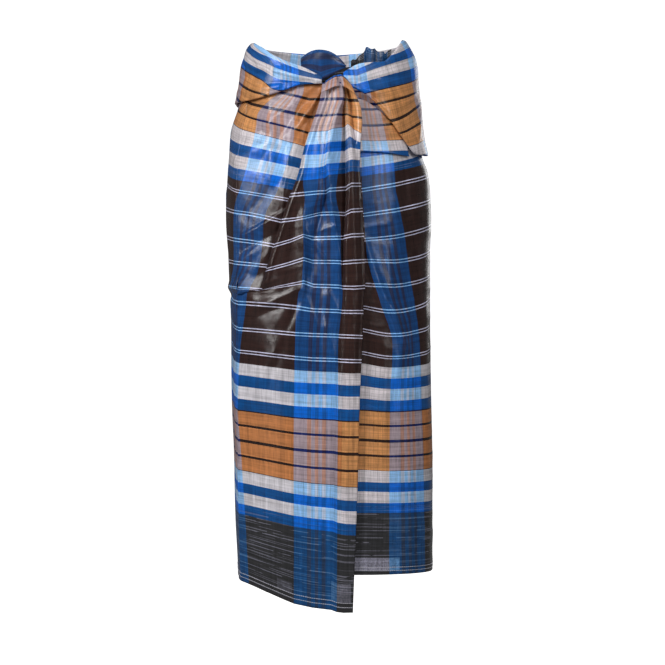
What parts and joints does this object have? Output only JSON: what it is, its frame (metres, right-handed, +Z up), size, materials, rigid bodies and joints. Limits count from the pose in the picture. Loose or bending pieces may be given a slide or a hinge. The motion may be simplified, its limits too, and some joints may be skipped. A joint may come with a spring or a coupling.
{
  "type": "longyi sarong",
  "caption": "Worn checked cotton longyi: a sewn tube wrapped round the hips, lapped over at the front with pleats falling from a waist knot, hollow for the wearer.",
  "frame": {"origin": "centre of the waist at the height of the knot, where the wearer's waist holds the cloth", "axes": "+Z up, -Y towards the front with the knot and the over panel, +X towards the side with the shorter under panel"},
  "size_m": [0.346, 0.2938, 0.9437],
  "materials": {
    "checked_cotton_back": "plain-woven checked cotton, starched and calendered to a soft shine",
    "checked_cotton_left_hip": "plain-woven checked cotton, starched and calendered to a soft shine",
    "checked_cotton_under_panel": "plain-woven checked cotton, starched and calendered to a soft shine",
    "checked_cotton_over_panel": "plain-woven checked cotton, starched and calendered to a soft shine",
    "checked_cotton_right_fan": "plain-woven checked cotton, starched and calendered to a soft shine",
    "checked_cotton_left_waist": "plain-woven checked cotton, starched and calendered to a soft shine",
    "checked_cotton_back_waist": "plain-woven checked cotton, starched and calendered to a soft shine",
    "checked_cotton_right_hip": "plain-woven checked cotton, starched and calendered to a soft shine",
    "checked_cotton_knot": "plain-woven checked cotton, starched and calendered to a soft shine",
    "checked_cotton_tuck_loop": "plain-woven checked cotton, starched and calendered to a soft shine",
    "checked_cotton_tuck_end": "plain-woven checked cotton, starched and calendered to a soft shine"
  },
  "bodies": {
    "root": {"back_wrap": "checked_cotton_back", "left_hip": "checked_cotton_left_hip", "front_under": "checked_cotton_under_panel", "front_over": "checked_cotton_over_panel", "fan_right": "checked_cotton_right_fan", "waist_left": "checked_cotton_left_waist", "waist_back": "checked_cotton_back_waist", "hip_right": "checked_cotton_right_hip", "knot": "checked_cotton_knot", "tuck_loop": "checked_cotton_tuck_loop", "tuck_end": "checked_cotton_tuck_end"}
  },
  "joints": []
}
